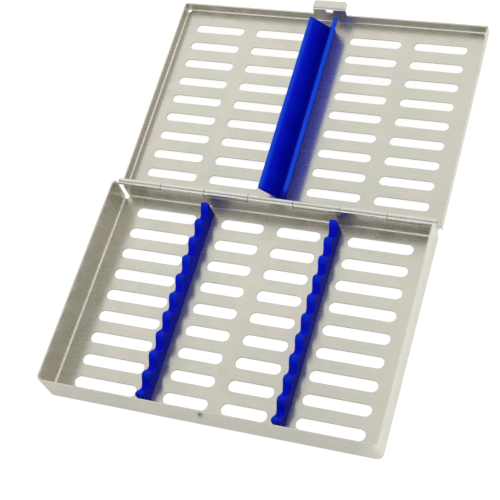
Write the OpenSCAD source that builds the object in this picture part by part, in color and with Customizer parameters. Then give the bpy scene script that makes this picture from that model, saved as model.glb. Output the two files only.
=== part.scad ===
// Dental instrument cassette: a slotted sheet steel base and lid on a rolled hinge, shown open flat.
// Millimetres. The origin is the middle of the base's underside, +Z up, the hinge towards +Y.

/* [Base tray] */
// Outer width of the base, along the hinge
base_w = 203; // [180:1:230]
// Outer depth of the base, front to hinge side
base_d = 140; // [110:1:190]
// Height of the base walls above the underside
base_h = 22.5; // [21:0.1:30]
// Thickness of the sheet steel
sheet = 0.9; // [0.7:0.05:1.2]
// Inside radius of the base's folds
base_fold = 1; // [0.6:0.1:1.6]
// Outside radius of the two formed front corners
corner_r = 3.5; // [3:0.1:8]
// Space between a side wall's rear edge and the outside of the back wall
rear_gap = 1.5; // [1.4:0.1:4]
// Space between the back wall's ends and the side walls' folds
back_gap = 1.3; // [0.1:0.1:1.5]
// Rounding of the side walls' upper rear corners
rear_round = 5; // [1:0.5:6]
// Radius of the relief hole in each rear corner
rear_relief = 1.5; // [1:0.1:2]
// Distance from the side wall's fold line in to that hole's middle
relief_in = 0.2; // [0:0.1:0.4]
// Distance from the side wall's rear edge forward to that hole's middle
relief_front = 0.4; // [0:0.1:1]

/* [Lid tray] */
// Height of the lid walls above the lid's floor
lid_wall = 6.7; // [6:0.1:10]
// Inside radius of the lid's folds
lid_fold = 0.8; // [0.5:0.1:0.9]
// Space on each side between the closed lid and the base
side_gap = 0.3; // [0.3:0.05:0.8]
// Space in front between the closed lid and the base
front_gap = 1; // [0.9:0.1:1.6]
// Space between the closed lid's floor and the base's top edge
top_gap = 5.4; // [0.4:0.1:5.6]
// Distance from the hinge axis at which the lid's side walls start
lid_side_start = 2.4; // [2.2:0.1:4]
// Rounding of the lid side walls' corners next to the hinge
lid_round = 3; // [1:0.5:5]
// Radius of the relief hole in each corner of the lid
lid_relief = 1.2; // [0.8:0.1:1.4]
// Width of the seam where two walls of the lid meet
seam = 0.16; // [0.1:0.02:0.3]
// Radius of the upright edge beside that seam
seam_round = 0.9; // [0.3:0.1:1.4]
// Angle by which the opened lid stands off lying flat
open_tilt = 2.7; // [0:0.1:5]

/* [Slots] */
// Width of the base's slots
base_slot = 7.2; // [5:0.1:9]
// Distance between the base's slot rows
base_pitch = 14.56; // [12:0.01:18]
// Distance from a rack's middle to the slots on its outer side
slot_out = 7.8; // [5:0.1:14]
// Distance from a rack's middle to the slots on its inner side
slot_in = 9.1; // [5:0.1:14]
// Half the width of the plain strip along the base's middle
base_strip = 4.1; // [2:0.1:10]
// Distance from the base's outside to the outer slots
base_edge = 12.6; // [8:0.1:20]
// Width of the lid's slots
lid_slot = 6.1; // [4:0.1:9]
// Distance between the lid's slot rows
lid_pitch = 13.95; // [12:0.01:18]
// Half the width of the plain strip along the lid's middle
lid_strip = 15.3; // [13:0.1:20]
// Width of the plain strip between the lid's slot columns
lid_web = 8.5; // [4:0.1:14]
// Distance from the lid's outside to the outer slots
lid_edge = 11; // [6:0.1:20]
// Least distance from a tray's end to the first row's middle
row_edge = 11.4; // [9:0.1:16]

/* [Hinge] */
// Radius of the hinge pin
pin_r = 1; // [0.8:0.05:1.3]
// Running clearance around the pin
pin_gap = 0.05; // [0.02:0.01:0.1]
// Space between neighbouring knuckles
knuckle_gap = 0.3; // [0.3:0.05:0.8]
// Distance from the lid's sides in to the ends of the row of knuckles
hinge_inset = 1.6; // [0:0.1:2.4]
// Number of knuckles, lid and base in turn
knuckles = 7; // [5:2:9]
// Space between a knuckle and the wall cut out behind it
knuckle_clear = 0.5; // [0.35:0.05:1.5]
// Opening angle of the curl, where the sheet's end stops short of the wall
curl_open = 70; // [66:1:90]
// How far the pin's ends lie inside the outer knuckles
pin_inset = 0.5; // [0:0.1:3]

/* [Latch] */
// Width of the latch tab
tab_w = 22; // [14:0.5:40]
// Height of the tab above the edge of the lid's wall
tab_rise = 6.1; // [5.6:0.05:7]
// Radius of the tab's hole
tab_hole = 2.65; // [2.5:0.05:3]
// Distance from the hole's middle to the top of the finger lip
tab_hole_drop = 1.85; // [1.7:0.05:2]
// Length of the finger lip outside the lid's wall
lip_len = 5.5; // [3:0.1:9]
// Inside radius of the lip's fold
lip_fold = 0.5; // [0.3:0.1:0.6]
// Rounding of the lip's outer corners
lip_round = 1.5; // [0.5:0.1:2.5]
// Fillet where the tab rises from the wall
tab_fillet = 1.6; // [0.5:0.1:2.5]
// Radius of the catch stud's head
stud_r = 1.5; // [1.3:0.05:1.55]
// How far the stud's top stays below the outside of the closed tab
stud_sunk = 0.1; // [0.05:0.05:0.2]
// Radius of the stud's shank through the wall
stud_shank = 1; // [0.6:0.05:1.1]
// Radial clearance of the shank in the wall
stud_gap = 0.05; // [0.02:0.01:0.1]
// Height of the flattened end inside the wall
stud_inner = 0.5; // [0.3:0.1:1]

/* [Instrument racks] */
// Distance from the middle of the tray to the middle of each rack
rack_x = 41; // [36:0.5:46]
// Thickness of a rack
rack_t = 5; // [4:0.1:7]
// Height of a rack's crests above the floor
rack_h = 13.5; // [10:0.1:18]
// Depth of a rack's notches
notch_depth = 5.5; // [3:0.1:6.5]
// Distance between notches
notch_pitch = 12.7; // [9:0.1:16]
// Plain length beyond the first and last crest
rack_end = 1.3; // [0.5:0.1:3]
// Least distance from a rack's end to the tray's outside
rack_margin = 5; // [3.5:0.1:10]
// Height of the rail that holds a rack down
rail_h = 1.8; // [1.2:0.1:2.4]
// Width of that rail at its top
rail_w = 3; // [2.4:0.1:3.4]
// Width of that rail at the floor
rail_foot = 2.2; // [1.6:0.1:2.4]
// Distance from a rail's end to the end of its strip
rail_inset = 3; // [1:0.5:8]
// Clearance around a rail inside its strip
rail_gap = 0.05; // [0.02:0.01:0.15]

/* [Hold-down bar] */
// Sideways place of the bar's foot
bar_x = 0.7; // [-4:0.1:4]
// Width of the bar's foot
bar_foot = 6; // [5:0.1:8]
// Thickness of the bar's foot
bar_base = 2.3; // [2.3:0.1:3]
// Thickness of the bar's two fins
fin_t = 2.4; // [1.4:0.1:2.6]
// Length of the left fin, root to tip
fin_left = 15.6; // [8:0.1:16.5]
// Lean of the left fin from upright
fin_left_lean = 44; // [20:1:50]
// Length of the right fin, root to tip
fin_right = 13.7; // [8:0.1:16.5]
// Lean of the right fin from upright
fin_right_lean = 24; // [20:1:50]
// Distance from the bar's ends to the lid's end walls
bar_margin = 6.3; // [2.5:0.1:20]
// Height of the rail under the bar
bar_rail_h = 1; // [0.6:0.05:1.1]
// Width of that rail at its top
bar_rail_w = 3.4; // [2.8:0.1:4]
// Width of that rail at the floor
bar_rail_foot = 2.6; // [2:0.1:2.8]

/* [Hidden] */
$fn = 48;
over = 1;
steel = [0.80, 0.79, 0.75];
silicone = [0.02, 0.06, 0.80];
notch_steps = 12;

base_bend = base_fold + sheet;
lid_bend = lid_fold + sheet;
lip_bend = lip_fold + sheet;

// The hinge: the base's back wall and the lid's back wall each run up into their knuckles
knuckle_bore = pin_r + pin_gap;
knuckle_r = knuckle_bore + sheet;
hinge_y = base_d / 2 - sheet + knuckle_r;
hinge_z = (base_h + top_gap + sheet) / 2;
low_edge = hinge_z - knuckle_r - knuckle_clear;

// The lid, with its distances along Y counted from the hinge axis
lid_w = base_w + 2 * (side_gap + sheet);
lid_far = hinge_y + base_d / 2 + front_gap + sheet;
lid_top = sheet + lid_wall;
lid_side_x = lid_w / 2 - lid_bend;
lid_far_y = lid_far - lid_bend;
lid_back_y = knuckle_bore + lid_bend;
hinge_half = lid_w / 2 - hinge_inset;
knuckle_len = 2 * hinge_half / knuckles;

// The latch: the stud sits in the middle of what the lip leaves free of the hole when the lid is closed
tab_top = lid_top + tab_rise;
lip_under = tab_top - sheet;
tab_hole_z = tab_top - tab_hole_drop;
stud_z = 2 * hinge_z - (lip_under + tab_hole_z - tab_hole) / 2;
stud_out = front_gap + sheet - stud_sunk;

// The base floor's fold lines, and the length of what stands on it
base_side_x = base_w / 2 - base_bend;
base_end_y = base_d / 2 - base_bend;
corner_x = base_w / 2 - corner_r;
corner_y = base_d / 2 - corner_r;
side_rear_y = base_d / 2 - rear_gap;
back_half = base_side_x - back_gap;
notches = floor((base_d - 2 * rack_margin - 2 * rack_end) / notch_pitch);
rack_len = notches * notch_pitch + 2 * rack_end;
bar_from = knuckle_r + bar_margin;
bar_len = lid_far - sheet - bar_margin - bar_from;

// Rows of slots that fit between the ends, and the place of the first one
function rows(depth, pitch) = floor((depth - 2 * row_edge) / pitch) + 1;
function first_row(depth, pitch) = (depth - (rows(depth, pitch) - 1) * pitch) / 2;

// Height of a rack's top edge at a distance from its middle
function rack_top(y) = rack_h - notch_depth / 2 * (1 - cos(360 * (y + rack_len / 2 - rack_end) / notch_pitch));

// Folded wall along X from -a to b: the fold line lies at y = 0, the wall's outside at y = fold + sheet.
// A mitred end runs out at 45 degrees to meet the next wall.
module folded_wall(a, b, top, fold, mitre_a, mitre_b) {
    bend = fold + sheet;
    intersection() {
        union() {
            difference() {
                translate([-a - bend, 0, bend])
                    rotate([0, 90, 0])
                        cylinder(r = bend, h = a + b + 2 * bend);
                translate([-a - bend - over, 0, bend])
                    rotate([0, 90, 0])
                        cylinder(r = fold, h = a + b + 2 * bend + 2 * over);
                translate([-a - bend - over, -bend - over, -over])
                    cube([a + b + 2 * bend + 2 * over, bend + over, 2 * bend + 2 * over]);
                translate([-a - bend - over, -over, bend])
                    cube([a + b + 2 * bend + 2 * over, bend + 2 * over, bend + over]);
            }
            translate([-a - bend, fold, bend])
                cube([a + b + 2 * bend, sheet, top - bend]);
        }
        linear_extrude(top + over)
            polygon([[-a, 0], [b, 0], [b + (mitre_b ? bend : 0), bend], [-a - (mitre_a ? bend : 0), bend]]);
    }
}

// Slot with round ends along X, through a floor
module slot(from, to, width) {
    r = width / 2;
    translate([0, 0, -over]) {
        translate([from + r, 0, 0])
            cylinder(r = r, h = sheet + 2 * over);
        translate([to - r, 0, 0])
            cylinder(r = r, h = sheet + 2 * over);
        translate([from + r, -r, 0])
            cube([to - from - width, width, sheet + 2 * over]);
    }
}

// The same slot on both sides of the middle
module slot_pair(from, to, width) {
    slot(from, to, width);
    mirror([1, 0, 0])
        slot(from, to, width);
}

// Thin cut along the mitre between two walls, from the floor's corner outwards
module corner_seam(height) {
    rotate([0, 0, 45])
        translate([0, -seam / 2, -over])
            cube([3 * lid_bend, seam, height + 2 * over]);
}

// What a rounded upright edge takes off the corner at x = 0, y = 0 of a box that lies towards -X and -Y
module upright_round(r, height) {
    difference() {
        translate([-r, -r, -over])
            cube([r + over, r + over, height + 2 * over]);
        translate([-r, -r, -2 * over])
            cylinder(r = r, h = height + 4 * over);
    }
}

// Rolled knuckle about the hinge axis, from x = from, as long as length, joined to a wall on its -Y side
module knuckle(from, length) {
    reach = 2 * knuckle_r;
    translate([from, 0, hinge_z])
        rotate([90, 0, 90])
            difference() {
                cylinder(r = knuckle_r, h = length);
                translate([0, 0, -over])
                    cylinder(r = knuckle_bore, h = length + 2 * over);
                translate([0, 0, -over])
                    linear_extrude(length + 2 * over)
                        polygon([[0, 0], [-reach, 0], [-reach, -reach],
                            [-reach * cos(curl_open), -reach * sin(curl_open)]]);
            }
}

// Knuckles of one tray with the strips of wall that carry them: first is 0 for the lid, 1 for the base
module knuckle_row(first) {
    for (k = [first : 2 : knuckles - 1]) {
        from = -hinge_half + k * knuckle_len + (k == 0 ? 0 : knuckle_gap / 2);
        to = -hinge_half + (k + 1) * knuckle_len - (k == knuckles - 1 ? 0 : knuckle_gap / 2);
        knuckle(from, to - from);
        translate([from, -knuckle_r, low_edge - over])
            cube([to - from, sheet, hinge_z - low_edge + over]);
    }
}

// The right side wall of the base
module base_side_wall() {
    translate([base_side_x, 0, 0])
        rotate([0, 0, -90])
            folded_wall(side_rear_y, corner_y, base_h, base_fold, false, false);
}

// The right front corner of the base, formed round: floor, fold and wall turned through a quarter
module base_corner() {
    translate([corner_x, -corner_y, 0])
        rotate([0, 0, -90])
            rotate_extrude(angle = 90) {
                square([corner_r - base_bend, sheet]);
                translate([corner_r - sheet, base_bend])
                    square([sheet, base_h - base_bend]);
                translate([corner_r - base_bend, base_bend])
                    intersection() {
                        difference() {
                            circle(r = base_bend);
                            circle(r = base_fold);
                        }
                        translate([0, -base_bend])
                            square(base_bend);
                    }
            }
}

module base_slots() {
    start = first_row(base_d, base_pitch) - base_d / 2;
    for (k = [0 : rows(base_d, base_pitch) - 1])
        translate([0, start + k * base_pitch, 0]) {
            slot_pair(base_strip, rack_x - slot_in, base_slot);
            slot_pair(rack_x + slot_out, base_w / 2 - base_edge, base_slot);
        }
}

// What is cut from the base at its right rear corner
module base_rear_cuts() {
    translate([base_side_x - relief_in, side_rear_y - relief_front, -over])
        cylinder(r = rear_relief, h = base_bend + 2 * over);
    translate([base_w / 2 + over, side_rear_y, base_h])
        rotate([90, 0, -90])
            mirror([1, 0, 0])
                upright_round(rear_round, base_bend + over);
}

module base_tray() {
    color(steel)
        difference() {
            union() {
                translate([-base_side_x, -corner_y, 0])
                    cube([2 * base_side_x, base_end_y + corner_y, sheet]);
                translate([-corner_x, -base_end_y, 0])
                    cube([2 * corner_x, base_end_y, sheet]);
                translate([0, -base_end_y, 0])
                    rotate([0, 0, 180])
                        folded_wall(corner_x, corner_x, base_h, base_fold, false, false);
                for (side = [0, 1])
                    mirror([side, 0, 0]) {
                        base_side_wall();
                        base_corner();
                    }
                translate([0, base_end_y, 0])
                    folded_wall(back_half, back_half, low_edge, base_fold, false, false);
                translate([0, hinge_y, 0])
                    knuckle_row(1);
            }
            base_slots();
            base_rear_cuts();
            mirror([1, 0, 0])
                base_rear_cuts();
            translate([0, -base_d / 2 - over, stud_z])
                rotate([-90, 0, 0])
                    cylinder(r = stud_shank + stud_gap, h = sheet + 2 * over);
        }
}

// Puts what is drawn flat, with the hinge axis over y = 0, into the opened lid's place
module opened() {
    translate([0, hinge_y, hinge_z])
        rotate([open_tilt, 0, 0])
            translate([0, 0, -hinge_z])
                children();
}

// The right side wall of the lid, drawn flat with the hinge axis over y = 0
module lid_side_wall() {
    translate([lid_side_x, 0, 0])
        rotate([0, 0, -90])
            folded_wall(lid_far_y, -lid_side_start, lid_top, lid_fold, true, false);
}

module lid_slots() {
    inside = lid_far - knuckle_bore;
    middle = (lid_w / 2 - lid_edge + lid_strip) / 2;
    for (k = [0 : rows(inside, lid_pitch) - 1])
        translate([0, knuckle_bore + first_row(inside, lid_pitch) + k * lid_pitch, 0]) {
            slot_pair(lid_strip, middle - lid_web / 2, lid_slot);
            slot_pair(middle + lid_web / 2, lid_w / 2 - lid_edge, lid_slot);
        }
}

// What is cut from the lid at its right-hand corners
module lid_corner_cuts() {
    translate([lid_side_x, lid_far_y, 0])
        corner_seam(lid_top);
    translate([lid_w / 2, lid_far, 0])
        upright_round(seam_round, lid_top);
    translate([lid_side_x, lid_far_y, -over])
        cylinder(r = lid_relief, h = lid_bend + over);
    translate([lid_side_x, lid_back_y, -over])
        cylinder(r = lid_relief, h = lid_bend + over);
    translate([lid_w / 2 + over, lid_side_start, lid_top])
        rotate([90, 0, -90])
            upright_round(lid_round, lid_bend + over);
}

// Fillet between the tab's right edge and the top of the lid's wall
module tab_root() {
    difference() {
        translate([tab_w / 2 - over, lid_far - sheet, lid_top - over])
            cube([tab_fillet + over, sheet, tab_fillet + over]);
        translate([tab_w / 2 + tab_fillet, lid_far + over, lid_top + tab_fillet])
            rotate([90, 0, 0])
                cylinder(r = tab_fillet, h = sheet + 2 * over);
    }
}

// The latch tab: a plate above the lid's far wall, folded outwards into a finger lip
module latch_tab() {
    difference() {
        union() {
            translate([-tab_w / 2, lid_far - sheet, lid_top - over])
                cube([tab_w, sheet, tab_top - lip_bend - lid_top + over]);
            difference() {
                translate([-tab_w / 2, lid_far - sheet + lip_bend, tab_top - lip_bend])
                    rotate([0, 90, 0])
                        cylinder(r = lip_bend, h = tab_w);
                translate([-tab_w / 2 - over, lid_far - sheet + lip_bend, tab_top - lip_bend])
                    rotate([0, 90, 0])
                        cylinder(r = lip_fold, h = tab_w + 2 * over);
                translate([-tab_w / 2 - over, lid_far - 2 * over, tab_top - 3 * lip_bend])
                    cube([tab_w + 2 * over, 3 * lip_bend + 2 * over, 2 * lip_bend]);
                translate([-tab_w / 2 - over, lid_far - sheet + lip_bend, tab_top - 2 * lip_bend])
                    cube([tab_w + 2 * over, 2 * lip_bend, 3 * lip_bend]);
            }
            translate([-tab_w / 2, lid_far - sheet + lip_bend, lip_under])
                cube([tab_w, lip_len + sheet - lip_bend, sheet]);
            tab_root();
            mirror([1, 0, 0])
                tab_root();
        }
        intersection() {
            translate([0, lid_far - sheet - over, tab_hole_z])
                rotate([-90, 0, 0])
                    cylinder(r = tab_hole, h = sheet + lip_fold + over);
            translate([-tab_hole - over, lid_far - sheet - 2 * over, lid_top])
                cube([2 * (tab_hole + over), lip_len, lip_under - lid_top]);
        }
        for (side = [0, 1])
            mirror([side, 0, 0])
                translate([tab_w / 2, lid_far + lip_len, lip_under])
                    upright_round(lip_round, sheet);
    }
}

module lid_tray() {
    color(steel)
        opened()
            difference() {
                union() {
                    translate([-lid_side_x, lid_back_y, 0])
                        cube([2 * lid_side_x, lid_far_y - lid_back_y, sheet]);
                    translate([0, lid_far_y, 0])
                        folded_wall(lid_side_x, lid_side_x, lid_top, lid_fold, true, true);
                    lid_side_wall();
                    mirror([1, 0, 0])
                        lid_side_wall();
                    translate([0, lid_back_y, 0])
                        rotate([0, 0, 180])
                            folded_wall(lid_side_x - over, lid_side_x - over, low_edge, lid_fold, false, false);
                    mirror([0, 1, 0])
                        knuckle_row(0);
                    latch_tab();
                }
                lid_slots();
                lid_corner_cuts();
                mirror([1, 0, 0])
                    lid_corner_cuts();
            }
}

module hinge_pin() {
    color(steel)
        translate([-hinge_half + pin_inset, hinge_y, hinge_z])
            rotate([0, 90, 0])
                cylinder(r = pin_r, h = 2 * (hinge_half - pin_inset));
}

// Section of a rail, wider at its top than at the floor, grown by its clearance
module rail_shape(foot, top, height, gap) {
    polygon([[-foot / 2 - gap, 0], [foot / 2 + gap, 0], [top / 2 + gap, height + gap], [-top / 2 - gap, height + gap]]);
}

// Rail along Y, from y = from, standing on the tray's floor
module rail(from, length, foot, top, height, gap) {
    translate([0, from + length, sheet])
        rotate([90, 0, 0])
            linear_extrude(length)
                rail_shape(foot, top, height, gap);
}

module rack_rail(side) {
    color(steel)
        translate([side * rack_x, 0, 0])
            rail(-rack_len / 2 + rail_inset, rack_len - 2 * rail_inset, rail_foot, rail_w, rail_h, 0);
}

// Instrument rack: a strip with a scalloped top edge, hollow underneath along its rail
module instrument_rack(side) {
    last = notches * notch_steps;
    crest = -rack_len / 2 + rack_end;
    color(silicone)
        translate([side * rack_x, 0, 0])
            difference() {
                translate([-rack_t / 2, 0, sheet])
                    rotate([90, 0, 90])
                        linear_extrude(rack_t)
                            polygon(concat(
                                [[-rack_len / 2, 0], [-rack_len / 2, rack_top(-rack_len / 2)]],
                                [for (k = [0 : last]) let (y = crest + k * notch_pitch / notch_steps) [y, rack_top(y)]],
                                [[rack_len / 2, rack_top(rack_len / 2)], [rack_len / 2, 0]]));
                rail(-rack_len / 2 - over, rack_len + 2 * over, rail_foot, rail_w, rail_h, rail_gap);
            }
}

module bar_rail() {
    color(steel)
        opened()
            translate([bar_x, 0, 0])
                rail(bar_from + rail_inset, bar_len - 2 * rail_inset, bar_rail_foot, bar_rail_w, bar_rail_h, 0);
}

// One fin of the hold-down bar, with its round root and round tip. It leans from upright so that its inner
// face starts at the valley, the middle of the foot's upper side.
module bar_fin(length, lean) {
    translate([0, 0, bar_base])
        rotate([0, lean, 0])
            translate([sign(lean) * fin_t / 2, 0, 0]) {
                translate([-fin_t / 2, 0, 0])
                    cube([fin_t, bar_len, length - fin_t / 2]);
                translate([0, 0, length - fin_t / 2])
                    rotate([-90, 0, 0])
                        cylinder(r = fin_t / 2, h = bar_len);
                rotate([-90, 0, 0])
                    cylinder(r = fin_t / 2, h = bar_len);
            }
}

// Hold-down bar: a foot along the lid's middle with two springy fins, open towards the instruments
module hold_down_bar() {
    color(silicone)
        opened()
            translate([bar_x, 0, 0])
                difference() {
                    translate([0, bar_from, sheet]) {
                        translate([-bar_foot / 2, 0, 0])
                            cube([bar_foot, bar_len, bar_base]);
                        bar_fin(fin_left, -fin_left_lean);
                        bar_fin(fin_right, fin_right_lean);
                    }
                    rail(bar_from - over, bar_len + 2 * over, bar_rail_foot, bar_rail_w, bar_rail_h, rail_gap);
                }
}

// Catch stud: a round-headed rivet through the front wall that the tab's hole snaps over
module catch_stud() {
    color(steel)
        translate([0, -base_d / 2, stud_z])
            rotate([90, 0, 0]) {
                cylinder(r = stud_r, h = stud_out - stud_r);
                intersection() {
                    translate([0, 0, stud_out - stud_r])
                        sphere(r = stud_r);
                    cylinder(r = stud_r + over, h = stud_out + over);
                }
                translate([0, 0, -sheet])
                    cylinder(r = stud_shank, h = sheet + (stud_out - stud_r) / 2);
                translate([0, 0, -sheet - stud_inner])
                    cylinder(r1 = stud_shank, r2 = stud_r, h = stud_inner);
            }
}

base_tray();
lid_tray();
hinge_pin();
rack_rail(-1);  // rack_rail_left
rack_rail(1);  // rack_rail_right
instrument_rack(-1);  // instrument_rack_left
instrument_rack(1);  // instrument_rack_right
bar_rail();
hold_down_bar();
catch_stud();
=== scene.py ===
import math

import bmesh
import bpy
from mathutils import Matrix, Vector
from mathutils.geometry import tessellate_polygon


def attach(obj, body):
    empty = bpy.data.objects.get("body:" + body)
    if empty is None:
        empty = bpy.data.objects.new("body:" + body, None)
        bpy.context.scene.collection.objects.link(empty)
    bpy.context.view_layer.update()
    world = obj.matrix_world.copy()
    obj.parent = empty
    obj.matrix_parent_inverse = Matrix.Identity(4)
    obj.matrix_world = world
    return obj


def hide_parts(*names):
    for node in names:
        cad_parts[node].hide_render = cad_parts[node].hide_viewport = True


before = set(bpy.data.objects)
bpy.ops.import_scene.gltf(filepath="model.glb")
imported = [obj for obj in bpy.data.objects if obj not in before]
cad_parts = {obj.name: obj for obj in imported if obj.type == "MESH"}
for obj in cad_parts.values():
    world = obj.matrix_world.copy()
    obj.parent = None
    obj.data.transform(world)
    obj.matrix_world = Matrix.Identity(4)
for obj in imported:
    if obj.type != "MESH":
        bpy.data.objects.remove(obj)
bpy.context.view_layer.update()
MM = 0.001
WHITE = (1, 1, 1, 1)

# Camera: where the eye stands, the point it looks at and its roll, fitted to the photograph
EYE = Vector((0.247117, -0.27861, 0.642557))
TARGET = Vector((-0.008524, 0.043281, 0.0009))
ROLL = math.radians(-25.454)
LENS = 91.237
SENSOR = 36.0
NEAREST = 0.01

# Sizes in mm and degrees, as in the part's source
SHEET = 0.9
HINGE_Y = 71.05
HINGE_Z = 14.4
OPEN_TILT = 2.7
RAIL_GAP = 0.05

# The two racks and the slot under each, over its rail
RACK_X = 41.0
RACK_T = 5.0
RACK_H = 13.5
RACK_END = 1.3
RACK_ROUND = 1.3
NOTCH_DEPTH = 5.5
NOTCH_PITCH = 12.7
NOTCHES = 10
RAIL_FOOT = 2.2
RAIL_W = 3.0
RAIL_H = 1.8

# The hold-down bar: a foot that two fins rise from, one leaning to each side
BAR_X = 0.7
BAR_FROM = 8.25
BAR_LEN = 127.5
BAR_FOOT = 6.0
BAR_BASE = 2.3
BAR_END_R = 0.8
BAR_RAIL_FOOT = 2.6
BAR_RAIL_W = 3.4
BAR_RAIL_H = 1.0
FIN_T = 2.4
FIN_LEFT = 15.6
FIN_LEFT_LEAN = -44.0
FIN_RIGHT = 13.7
FIN_RIGHT_LEAN = 24.0
VALLEY_R = 0.7
LEFT_MEET_R = 0.5
RIGHT_MEET_R = 0.3

# How the silicone is meshed; DRAWN and MOST are shares, of an end's rounding and of the width there
LONGEST_STEP = 0.9
END_STEPS = 6
RACK_CORNER_STEPS = 6
BAR_CORNER_STEPS = 4
TIP_STEPS = 8
CORNER_MOST = 0.49
RACK_FOOT_DRAWN = 0.3
RACK_SLOT_MOST = 0.9
BAR_DRAWN = 0.9
TOUCHING = 1e-4
SHARP = math.radians(40)

# Painted light on the silicone: -1 is painted shade, 0 plain and 1 a painted highlight, as on thin rims and
# tips
RACK_TOP_LIGHT_PAINT = -0.08
RACK_CREST_LIGHT_PAINT = 0.40
RACK_SIDE_LIGHT_PAINT = -0.75
TIP_LIGHT_PAINT = 1.0
LEFT_LIGHT_PAINT = 0.12
RIGHT_LIGHT_PAINT = 0.6
VALLEY_LIGHT_PAINT = -0.55
RIM_WIDTH = 1.6
TIP_MARGIN = 0.1

# Light: how bright the surroundings are in each direction
SKY_MIDDLE = 0.31
SKY_BACK = 1.02
SKY_RIGHT = -0.62
SKY_LOW = 0.05
SKY_HIGH = 1.0
HORIZON = 1.18
HORIZON_RIGHT = 0.15
HORIZON_BACK = -0.15
HORIZON_TOP = 0.70
HORIZON_FULL = 0.45
LAMP_PLACE = Vector((0.16, 0.0, 1.3))
LAMP_TARGET = Vector((0, 0.07, 0))
LAMP_SIZE = 0.6
LAMP_POWER = 1.3

# The table: its glow is what the camera sees, its sheen what the steel mirrors, left and right
TABLE_HALF = 20.0
TABLE_COLOUR = (0.34, 0.34, 0.34, 1)
TABLE_ROUGH = 0.95
TABLE_GLOW = 0.86
TABLE_SHEEN = (0.50, 0.90)
SHEEN_SPAN = (0.085, 0.125)

# Steel. SCALE is in repeats per metre, SPAN the part of a noise or a normal over which a look
# comes in, MOST how far it comes in, and the other pairs are from the least to the most
TRAY_COLOUR = (0.77, 0.74, 0.645)
TRAY_COOL = (0.72, 0.73, 0.625)
TRAY_WARM = (0.785, 0.725, 0.645)
TRAY_ROUGH = (0.24, 0.31)
FLOOR_METAL = 0.86
WALL_METAL = 0.97
METAL_SPAN = (0.3, 0.9)
PIN_COLOUR = (0.42, 0.41, 0.39)
PIN_ROUGH = (0.20, 0.30)
RAIL_COLOUR = (0.66, 0.66, 0.63)
RAIL_ROUGH = (0.30, 0.42)
PLAIN_METAL = 0.95
BRUSHED = 0.7
STREAK_DETAIL = 2.0
FINE_SCALE = (22.0, 2300.0)
FINE_ROUGHNESS = 0.6
FINE_SHARE = 0.6
BROAD_SCALE = (9.0, 420.0)
BROAD_ROUGHNESS = 0.55
BROAD_SHARE = 0.4
STREAK_BUMP = (0.07, 0.03 * MM)
SHADE_SPAN = (0.34, 0.66)
SHADE = (0.95, 1.03)
GLOSS_SPAN = (0.32, 0.68)
BLOTCH_SCALE = 24.0
BLOTCH_DETAIL = 2.0
BLOTCH_SPAN = (0.42, 0.62)
BLOTCH_MOST = 0.75
TINT_SCALE = 55.0
TINT_DETAIL = 3.0
TINT_SPAN = (0.50, 0.68)
TINT_MOST = 0.65
WEAR_SCALE = 90.0
WEAR_DETAIL = 4.0
WEAR_SPAN = (0.35, 0.65)
WEAR_ROUGH = (-0.03, 0.04)
EDGE_SAMPLES = 4
EDGE_RADIUS = 0.35 * MM
# The sheet's edges are lightened towards this colour as a painted highlight, where the rounded normal turns
# away
EDGE_HIGHLIGHT_COLOUR = (0.90, 0.88, 0.82)
EDGE_HIGHLIGHT_SPAN = (0.985, 0.80)
EDGE_HIGHLIGHT_MOST = 0.25
# Painted shade: the sheet's colour is darkened where ambient occlusion finds a crevice or the inside of a
# fold
PAINTED_SHADE_SAMPLES = 6
PAINTED_SHADE_REACH = 1.0 * MM
PAINTED_SHADE_SPAN = (0.25, 0.70)
PAINTED_SHADE_DEPTH = (0.12, 1.0)
# Painted highlight on the bends: the colour is lightened where the normal lies between a wall's and a
# floor's
BEND_HIGHLIGHT_COLOUR = (0.96, 0.94, 0.87)
BEND_FROM_WALL = (0.25, 0.45)
BEND_TO_FLOOR = (0.90, 0.98)

# Silicone
SILICONE_COLOUR = (0.0, 0.0045, 0.66)
SILICONE_BLOOM = (0.0, 0.0090, 0.71)
SILICONE_PAINTED_HIGHLIGHT = (0.006, 0.070, 0.84)
SILICONE_PAINTED_SHADE = (0.0, 0.0010, 0.26)
SILICONE_ROUGH = (0.42, 0.56)
SILICONE_SPECULAR = 0.05
SILICONE_BUMP = (0.25, 0.06 * MM)
BLOOM_SCALE = 70.0
BLOOM_DETAIL = 3.0
BLOOM_SPAN = (0.40, 0.66)
FLOW_SCALE = (1400.0, 60.0, 1400.0)
FLOW_DETAIL = 2.0
FLOW_SPAN = (0.35, 0.65)
FLOW_SHARE = 0.65
GRAIN_SCALE = 2600.0
GRAIN_DETAIL = 2.0
GRAIN_SHARE = 0.35


def new_object(name, data):
    """A new object in the scene that shows data."""
    made = bpy.data.objects.new(name, data)
    bpy.context.scene.collection.objects.link(made)
    return made


def make_camera():
    data = bpy.data.cameras.new("camera")
    data.lens = LENS
    data.sensor_width = SENSOR
    data.clip_start = NEAREST
    camera = new_object("camera", data)
    look = (TARGET - EYE).to_track_quat("-Z", "Y").to_matrix().to_4x4()
    camera.matrix_world = Matrix.Translation(EYE) @ look @ Matrix.Rotation(ROLL, 4, "Z")
    bpy.context.scene.camera = camera


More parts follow.
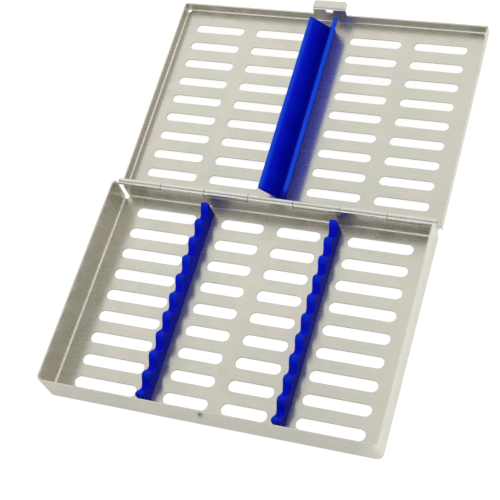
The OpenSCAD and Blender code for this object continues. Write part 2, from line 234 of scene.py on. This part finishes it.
class Nodes:
    """A few words for building a node tree. A value is a number, a tuple or another node's socket."""

    MIX_COLOURS = (6, 7)
    MIX_RESULT = 2

    def __init__(self, tree):
        self.tree = tree

    def put(self, socket, value):
        if isinstance(value, bpy.types.NodeSocket):
            self.tree.links.new(value, socket)
        else:
            socket.default_value = value

    def add(self, kind, **settings):
        node = self.tree.nodes.new(kind)
        for key, value in settings.items():
            setattr(node, key, value)
        return node

    def math(self, operation, a, b=0.0):
        node = self.add("ShaderNodeMath", operation=operation)
        self.put(node.inputs[0], a)
        self.put(node.inputs[1], b)
        return node.outputs[0]

    def total(self, a, a_share, b, b_share):
        """a times its share plus b times its share."""
        return self.math("ADD", self.math("MULTIPLY", a, a_share), self.math("MULTIPLY", b, b_share))

    def rest(self, share):
        return self.math("SUBTRACT", 1.0, share)

    def span(self, value, low, high, to_low, to_high):
        """value's way from low to high, turned into the way from to_low to to_high and held there."""
        node = self.add("ShaderNodeMapRange", clamp=True)
        for name, given in (("Value", value), ("From Min", low), ("From Max", high),
                            ("To Min", to_low), ("To Max", to_high)):
            self.put(node.inputs[name], given)
        return node.outputs[0]

    def mix(self, share, a, b, blend="MIX"):
        """The colour that is share of the way from a to b."""
        node = self.add("ShaderNodeMix", data_type="RGBA", blend_type=blend)
        self.put(node.inputs[0], share)
        for k, value in zip(self.MIX_COLOURS, (a, b)):
            self.put(node.inputs[k], value if isinstance(value, bpy.types.NodeSocket) else (*value, 1))
        return node.outputs[self.MIX_RESULT]

    def shaded(self, colour, shade):
        return self.mix(1.0, colour, self.vector(shade, shade, shade), "MULTIPLY")

    def noise(self, vector, scale, detail, roughness=0.5):
        node = self.add("ShaderNodeTexNoise")
        self.put(node.inputs["Vector"], vector)
        self.put(node.inputs["Scale"], scale)
        self.put(node.inputs["Detail"], detail)
        self.put(node.inputs["Roughness"], roughness)
        return node.outputs["Fac"]

    def stretched(self, places, scales, detail, roughness=0.5):
        """Noise with its own scale along each of two or three directions."""
        vector = self.vector(*[self.math("MULTIPLY", place, scale) for place, scale in zip(places, scales)])
        return self.noise(vector, 1.0, detail, roughness)

    def vector(self, x, y, z=0.0):
        node = self.add("ShaderNodeCombineXYZ")
        for socket, value in zip(node.inputs, (x, y, z)):
            self.put(socket, value)
        return node.outputs[0]

    def split(self, vector):
        node = self.add("ShaderNodeSeparateXYZ")
        self.put(node.inputs[0], vector)
        return node.outputs

    def bump(self, height, strength, distance, normal=None):
        node = self.add("ShaderNodeBump")
        self.put(node.inputs["Height"], height)
        self.put(node.inputs["Strength"], strength)
        self.put(node.inputs["Distance"], distance)
        if normal is not None:
            self.put(node.inputs["Normal"], normal)
        return node.outputs[0]


def new_material(name):
    material = bpy.data.materials.new(name)
    material.use_nodes = True
    return material, Nodes(material.node_tree), material.node_tree.nodes["Principled BSDF"]


def steel_material(name, colours, rough, sheet):
    """Brushed steel, streaked along X on floors, fronts and backs, and on up the side walls.

    colours are the plain, the cool and the warm one. A sheet also gets a painted highlight on its edges
    and bends, and painted shade in its crevices.
    """
    material, n, shader = new_material(name)
    colour, cool, warm = colours
    coordinates = n.add("ShaderNodeTexCoord")
    place = coordinates.outputs["Object"]
    x, y, z = n.split(place)
    normal = n.split(coordinates.outputs["Normal"])
    upright = n.math("ABSOLUTE", normal[1])
    others = n.rest(upright)
    directions = n.math("ADD", x, z), n.total(y, others, z, upright)
    fine = n.stretched(directions, FINE_SCALE, STREAK_DETAIL, FINE_ROUGHNESS)
    broad = n.stretched(directions, BROAD_SCALE, STREAK_DETAIL, BROAD_ROUGHNESS)
    streaks = n.total(fine, FINE_SHARE, broad, BROAD_SHARE)
    blotch = n.noise(place, BLOTCH_SCALE, BLOTCH_DETAIL)
    tint = n.noise(place, TINT_SCALE, TINT_DETAIL)
    base = n.mix(n.span(blotch, *BLOTCH_SPAN, 0.0, BLOTCH_MOST), colour, cool)
    base = n.mix(n.span(tint, *TINT_SPAN, 0.0, TINT_MOST), base, warm)
    base = n.shaded(base, n.span(streaks, *SHADE_SPAN, *SHADE))
    round_edge = n.add("ShaderNodeBevel", samples=EDGE_SAMPLES)
    round_edge.inputs["Radius"].default_value = EDGE_RADIUS
    if sheet:
        # Painted highlight: the colour is lightened at the sheet's edges, where the rounded normal turns
        # from the face's own
        edge_highlight_dot = n.add("ShaderNodeVectorMath", operation="DOT_PRODUCT")
        n.put(edge_highlight_dot.inputs[0], round_edge.outputs[0])
        n.put(edge_highlight_dot.inputs[1], n.add("ShaderNodeNewGeometry").outputs["Normal"])
        base = n.mix(n.span(edge_highlight_dot.outputs["Value"], *EDGE_HIGHLIGHT_SPAN, 0.0, EDGE_HIGHLIGHT_MOST), base, EDGE_HIGHLIGHT_COLOUR)
        # Painted shade in crevices and fold corners, from ambient occlusion
        painted_crevice_shade = n.add("ShaderNodeAmbientOcclusion", samples=PAINTED_SHADE_SAMPLES)
        painted_crevice_shade.inputs["Distance"].default_value = PAINTED_SHADE_REACH
        base = n.shaded(base, n.span(painted_crevice_shade.outputs["AO"], *PAINTED_SHADE_SPAN, *PAINTED_SHADE_DEPTH))
        # Painted highlight along the bends between walls and floors
        level = n.math("ABSOLUTE", normal[2])
        bend_highlight = n.math("MULTIPLY", n.span(level, *BEND_FROM_WALL, 0.0, 1.0),
                      n.span(level, *BEND_TO_FLOOR, 1.0, 0.0))
        base = n.mix(bend_highlight, base, BEND_HIGHLIGHT_COLOUR)
        n.put(shader.inputs["Metallic"], n.span(level, *METAL_SPAN, WALL_METAL, FLOOR_METAL))
    else:
        shader.inputs["Metallic"].default_value = PLAIN_METAL
    wear = n.noise(place, WEAR_SCALE, WEAR_DETAIL)
    roughness = n.math("ADD", n.span(streaks, *GLOSS_SPAN, *rough), n.span(wear, *WEAR_SPAN, *WEAR_ROUGH))
    n.put(shader.inputs["Base Color"], base)
    n.put(shader.inputs["Roughness"], roughness)
    n.put(shader.inputs["Normal"], n.bump(streaks, *STREAK_BUMP, round_edge.outputs[0]))
    n.put(shader.inputs["Tangent"], n.vector(0.0, others, upright))
    shader.inputs["Anisotropic"].default_value = BRUSHED
    return material


def silicone_material(name):
    """Moulded silicone: smooth, with faint flow marks along Y and a slightly lighter bloom in places."""
    material, n, shader = new_material(name)
    place = n.add("ShaderNodeTexCoord").outputs["Object"]
    bloom = n.noise(place, BLOOM_SCALE, BLOOM_DETAIL)
    flow = n.stretched(n.split(place), FLOW_SCALE, FLOW_DETAIL)
    grain = n.noise(place, GRAIN_SCALE, GRAIN_DETAIL)
    base = n.mix(n.span(bloom, *BLOOM_SPAN, 0.0, 1.0), SILICONE_COLOUR, SILICONE_BLOOM)
    # Painted highlight and painted shade, from the per-point values that the mesh carries
    painted_light = n.add("ShaderNodeAttribute", attribute_name="painted_light").outputs["Fac"]
    base = n.mix(n.span(painted_light, 0.0, 1.0, 0.0, 1.0), base, SILICONE_PAINTED_HIGHLIGHT)
    base = n.mix(n.span(painted_light, 0.0, -1.0, 0.0, 1.0), base, SILICONE_PAINTED_SHADE)
    n.put(shader.inputs["Base Color"], base)
    n.put(shader.inputs["Roughness"], n.span(flow, *FLOW_SPAN, *SILICONE_ROUGH))
    n.put(shader.inputs["Normal"], n.bump(n.total(grain, GRAIN_SHARE, flow, FLOW_SHARE), *SILICONE_BUMP))
    shader.inputs["Specular IOR Level"].default_value = SILICONE_SPECULAR
    return material


def rounded(corners, steps):
    """The closed outline through corners, each a point and the radius that it is rounded to."""
    points = [Vector(point) for point, _ in corners]
    outline = []
    for k, (_, radius) in enumerate(corners):
        here = points[k]
        if radius <= 0:
            outline.append(here)
            continue
        before = points[k - 1] - here
        after = points[(k + 1) % len(points)] - here
        half = before.angle(after) / 2
        reach = min(radius / math.tan(half), before.length * CORNER_MOST, after.length * CORNER_MOST)
        radius = reach * math.tan(half)
        start = here + before.normalized() * reach
        end = here + after.normalized() * reach
        middle = here + (before.normalized() + after.normalized()).normalized() * (radius / math.sin(half))
        first, last = start - middle, end - middle
        for step in range(steps + 1):
            share = step / steps
            outline.append(middle + (first * (1 - share) + last * share).normalized() * radius)
    return outline


def sweep(name, stations, painted_lights, place=Matrix.Identity(4)):
    """A closed mesh through stations, each a place along Y and its loop of (x, z), in mm.

    The last argument gives each point of each loop its painted light: painted highlight or painted shade.
    """
    mesh = bpy.data.meshes.new(name)
    work = bmesh.new()
    loops = []
    for y, loop in stations:
        loops.append([work.verts.new(place @ Vector((x * MM, y * MM, z * MM))) for x, z in loop])
    for one, two in zip(loops, loops[1:]):
        for k in range(len(one)):
            j = (k + 1) % len(one)
            work.faces.new((one[k], one[j], two[j], two[k]))
    for k in (0, -1):
        _, outline = stations[k]
        for one, two, three in tessellate_polygon([[Vector((x, z, 0)) for x, z in outline]]):
            work.faces.new((loops[k][one], loops[k][two], loops[k][three]))
    bmesh.ops.recalc_face_normals(work, faces=work.faces)
    for face in work.faces:
        face.smooth = True
    for edge in work.edges:
        edge.smooth = len(edge.link_faces) == 2 and edge.calc_face_angle() < SHARP
    work.to_mesh(mesh)
    work.free()
    painted_light = mesh.attributes.new("painted_light", "FLOAT", "POINT")
    painted_light.data.foreach_set("value", [value for loop in painted_lights for value in loop])
    return new_object(name, mesh)


def end_steps(length, radius):
    """Places along a piece with rounded ends: (distance from its start, how far its skin is drawn in)."""
    places = []
    for k in range(END_STEPS):
        turn = math.pi / 2 * k / END_STEPS
        places.append((radius * (1 - math.cos(turn)), radius * (1 - math.sin(turn))))
    inner = max(2, round((length - 2 * radius) / LONGEST_STEP))
    middle = [(radius + (length - 2 * radius) * k / inner, 0.0) for k in range(inner + 1)]
    return places + middle + [(length - d, inset) for d, inset in reversed(places)]


def rail_slot(foot_width, width, height):
    """The slot over a rail: its half width at the foot and at the roof, and the roof's height."""
    return foot_width / 2 + RAIL_GAP, width / 2 + RAIL_GAP, height + RAIL_GAP


def make_rack(side, name, material):
    """A strip along Y on the base's floor, with notches in its top and a slot for its rail below."""
    length = NOTCHES * NOTCH_PITCH + 2 * RACK_END
    foot, neck, roof = rail_slot(RAIL_FOOT, RAIL_W, RAIL_H)
    stations = []
    painted_lights = []
    for distance, inset in end_steps(length, RACK_ROUND):
        turn = 2 * math.pi * (distance - RACK_END) / NOTCH_PITCH
        top = RACK_H - NOTCH_DEPTH / 2 * (1 - math.cos(turn)) - inset
        wide = RACK_T / 2 - inset
        below = RACK_T / 2 - inset * RACK_FOOT_DRAWN
        low = min(foot, wide * RACK_SLOT_MOST)
        high = min(neck, wide * RACK_SLOT_MOST)
        corners = [((-below, 0), 0), ((-wide, top), RACK_ROUND), ((wide, top), RACK_ROUND), ((below, 0), 0),
                   ((low, 0), 0), ((high, roof), 0), ((-high, roof), 0), ((-low, 0), 0)]
        loop = rounded(corners, RACK_CORNER_STEPS)
        # Painted light: the crests get a painted highlight and the sides painted shade
        crest = RACK_TOP_LIGHT_PAINT + RACK_CREST_LIGHT_PAINT * max(0.0, math.cos(turn))
        painted_lights.append([RACK_SIDE_LIGHT_PAINT if abs(p.x) > wide - TOUCHING else crest for p in loop])
        stations.append((distance - length / 2, [(side * RACK_X + p.x, SHEET + p.y) for p in loop]))
    piece = sweep(name, stations, painted_lights)
    piece.data.materials.append(material)
    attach(piece, "base")
    return piece


def fin_points(length, lean):
    """A fin of the bar: its outer root, the way it rises, and its round tip from outer to inner side."""
    turn = math.radians(lean)
    up = Vector((math.sin(turn), math.cos(turn)))
    side = Vector((math.cos(turn), -math.sin(turn))) * math.copysign(1, lean)
    valley = Vector((0, BAR_BASE))
    outer = valley + side * FIN_T
    middle = valley + side * FIN_T / 2 + up * (length - FIN_T / 2)
    tip = [middle + (side * math.cos(a) + up * math.sin(a)) * FIN_T / 2
           for a in [math.pi * k / TIP_STEPS for k in range(TIP_STEPS + 1)]]
    return outer, up, tip


def bar_outline():
    """The bar's section, from the left of its foot over both fins to the slot for its rail."""
    half = BAR_FOOT / 2
    left_root, left_up, left_tip = fin_points(FIN_LEFT, FIN_LEFT_LEAN)
    right_root, right_up, right_tip = fin_points(FIN_RIGHT, FIN_RIGHT_LEAN)
    left_meet = left_root + left_up * ((-half - left_root.x) / left_up.x)
    right_meet = right_root + right_up * ((BAR_BASE - right_root.y) / right_up.y)
    foot, neck, roof = rail_slot(BAR_RAIL_FOOT, BAR_RAIL_W, BAR_RAIL_H)
    corners = [((-half, 0), 0), (left_meet, LEFT_MEET_R)]
    corners += [(point, 0) for point in left_tip]
    corners += [(left_tip[-1] - left_up * RIM_WIDTH, 0), ((0, BAR_BASE), VALLEY_R),
                (right_tip[-1] - right_up * RIM_WIDTH, 0)]
    corners += [(point, 0) for point in reversed(right_tip)]
    corners += [(right_meet, RIGHT_MEET_R), ((half, BAR_BASE), RIGHT_MEET_R)]
    corners += [(point, 0) for point in ((half, 0), (foot, 0), (neck, roof), (-neck, roof), (-foot, 0))]
    return rounded(corners, BAR_CORNER_STEPS)


def bar_painted_light(point):
    """The painted light at a point of the bar's section: painted highlight on the tips and fins, painted
    shade in the valley.
    """
    for length, lean, inner in ((FIN_LEFT, FIN_LEFT_LEAN, LEFT_LIGHT_PAINT), (FIN_RIGHT, FIN_RIGHT_LEAN, RIGHT_LIGHT_PAINT)):
        turn = math.radians(lean)
        reach = point.x * math.sin(turn) + (point.y - BAR_BASE) * math.cos(turn)
        if reach > length - FIN_T / 2 - TIP_MARGIN:
            return TIP_LIGHT_PAINT
        if reach > length / 2:
            return inner
    return VALLEY_LIGHT_PAINT


def drawn_in(outline, inset):
    """The outline moved inwards by inset along its own corners' bisectors."""
    if inset == 0:
        return outline
    count = len(outline)
    area = sum(outline[k - 1].x * outline[k].y - outline[k].x * outline[k - 1].y for k in range(count))
    way = 1 if area > 0 else -1
    moved = []
    for k, here in enumerate(outline):
        before = (here - outline[k - 1]).normalized()
        after = (outline[(k + 1) % count] - here).normalized()
        ahead = (before + after).normalized() if (before + after).length > TOUCHING else after
        moved.append(here + Vector((-ahead.y, ahead.x)) * (inset * way))
    return moved


def make_bar(material):
    """The hold-down bar on the lid's floor, turned about the hinge as the opened lid is."""
    outline = bar_outline()
    stations = []
    for distance, inset in end_steps(BAR_LEN, BAR_END_R):
        loop = drawn_in(outline, inset * BAR_DRAWN)
        stations.append((HINGE_Y + BAR_FROM + distance, [(BAR_X + p.x, SHEET + max(p.y, 0)) for p in loop]))
    axis = Vector((0, HINGE_Y, HINGE_Z)) * MM
    tilt = Matrix.Rotation(math.radians(OPEN_TILT), 4, "X")
    opened = Matrix.Translation(axis) @ tilt @ Matrix.Translation(-axis)
    painted_lights = [[bar_painted_light(p) for p in outline]] * len(stations)
    piece = sweep("silicone_bar", stations, painted_lights, opened)
    piece.data.materials.append(material)
    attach(piece, "lid")
    return piece


def make_stage():
    """A plain pale table, whose brightness to the camera and in the steel is set apart from its colour."""
    mesh = bpy.data.meshes.new("floor")
    s = TABLE_HALF
    mesh.from_pydata([(-s, -s, 0), (s, -s, 0), (s, s, 0), (-s, s, 0)], [], [(0, 1, 2, 3)])
    floor = new_object("floor", mesh)
    material, n, shader = new_material("floor")
    shader.inputs["Base Color"].default_value = TABLE_COLOUR
    shader.inputs["Roughness"].default_value = TABLE_ROUGH
    shader.inputs["Specular IOR Level"].default_value = 0.0
    shader.inputs["Emission Color"].default_value = WHITE
    seen = n.add("ShaderNodeLightPath").outputs
    direct = n.math("MAXIMUM", seen["Is Camera Ray"], seen["Is Transmission Ray"])
    x = n.split(n.add("ShaderNodeTexCoord").outputs["Object"])[0]
    sheen = n.math("MULTIPLY", n.span(x, *SHEEN_SPAN, *TABLE_SHEEN), seen["Is Glossy Ray"])
    strength = n.math("MAXIMUM", n.math("MULTIPLY", direct, TABLE_GLOW), sheen)
    n.put(shader.inputs["Emission Strength"], strength)
    floor.data.materials.append(material)


def make_light():
    """White surroundings, brighter behind the object and round the horizon, and one soft lamp above."""
    world = bpy.data.worlds.new("world")
    bpy.context.scene.world = world
    world.use_nodes = True
    n = Nodes(world.node_tree)
    background = world.node_tree.nodes["Background"]
    x, y, z = n.split(n.add("ShaderNodeTexCoord").outputs["Generated"])
    sky = n.math("ADD", n.total(y, SKY_BACK, x, SKY_RIGHT), SKY_MIDDLE)
    sky = n.math("MINIMUM", n.math("MAXIMUM", sky, SKY_LOW), SKY_HIGH)
    ring = n.math("ADD", n.total(x, HORIZON_RIGHT, y, HORIZON_BACK), HORIZON)
    low = n.span(z, HORIZON_FULL, HORIZON_TOP, 1.0, 0.0)
    sky = n.total(sky, n.rest(low), ring, low)
    seen = n.add("ShaderNodeLightPath").outputs["Is Camera Ray"]
    strength = n.math("ADD", n.math("MULTIPLY", sky, n.rest(seen)), seen)
    background.inputs["Color"].default_value = WHITE
    n.put(background.inputs["Strength"], strength)
    lamp = bpy.data.lights.new("lamp", "AREA")
    lamp.size = LAMP_SIZE
    lamp.energy = LAMP_POWER
    holder = new_object("lamp", lamp)
    holder.location = LAMP_PLACE
    holder.rotation_euler = (LAMP_TARGET - LAMP_PLACE).to_track_quat("-Z", "Y").to_euler()


make_camera()
make_stage()
make_light()
tray_steel = steel_material("tray_steel", (TRAY_COLOUR, TRAY_COOL, TRAY_WARM), TRAY_ROUGH, True)
pin_steel = steel_material("pin_steel", (PIN_COLOUR,) * 3, PIN_ROUGH, False)
rail_steel = steel_material("rail_steel", (RAIL_COLOUR,) * 3, RAIL_ROUGH, False)
silicone = silicone_material("silicone")
FINISH = {"base_tray": tray_steel, "lid_tray": tray_steel, "hinge_pin": pin_steel, "catch_stud": pin_steel,
          "rack_rail_left": rail_steel, "rack_rail_right": rail_steel, "bar_rail": rail_steel,
          "instrument_rack_left": silicone, "instrument_rack_right": silicone, "hold_down_bar": silicone}
for name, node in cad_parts.items():
    node.data.materials.clear()
    node.data.materials.append(FINISH[name])

for side, end in ((-1, "left"), (1, "right")):
    rack = make_rack(side, "silicone_rack_" + end, silicone)
    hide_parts("instrument_rack_" + end)
bar = make_bar(silicone)
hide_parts("hold_down_bar")

bpy.context.scene.view_settings.view_transform = "Standard"
